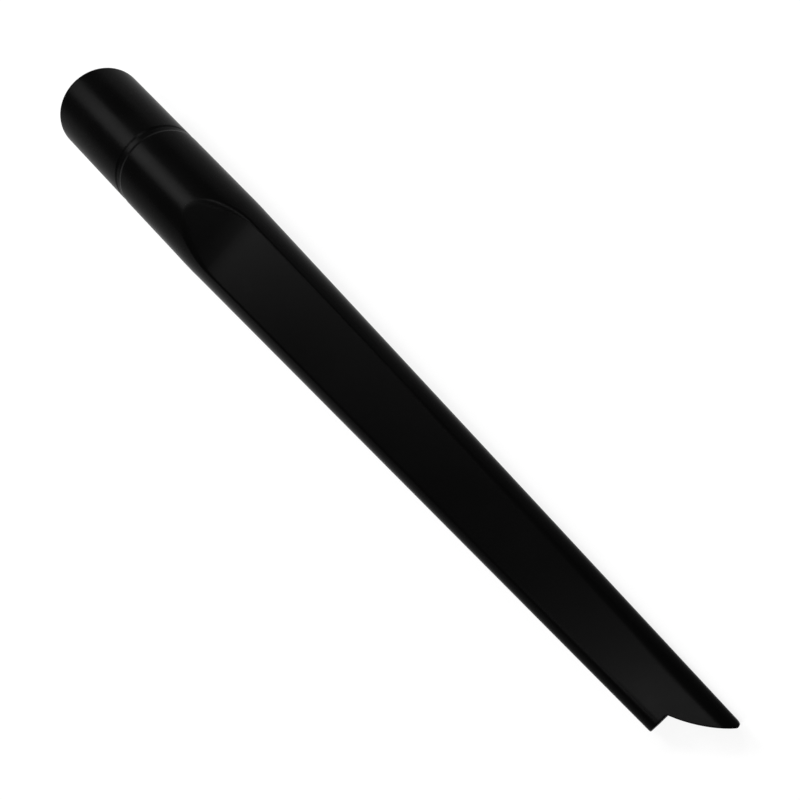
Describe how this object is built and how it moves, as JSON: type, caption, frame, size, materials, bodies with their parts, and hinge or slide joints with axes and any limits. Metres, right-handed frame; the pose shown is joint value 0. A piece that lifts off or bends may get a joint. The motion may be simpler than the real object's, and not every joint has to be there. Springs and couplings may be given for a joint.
{
  "type": "vacuum crevice tool",
  "caption": "One-piece moulded plastic crevice nozzle: a round push-fit socket tube that flattens and narrows to a long slim tip with a notch and a point.",
  "frame": {"origin": "centre of the socket's open mouth, on the tool's long axis", "axes": "+X along the tool from the mouth to the tip, +Y towards the pointed side of the tip, +Z square to the upper flat face"},
  "size_m": [0.3333, 0.038, 0.038],
  "materials": {
    "black_plastic": "satin black moulded polypropylene"
  },
  "bodies": {
    "root": {"crevice_tool": "black_plastic"}
  },
  "joints": []
}
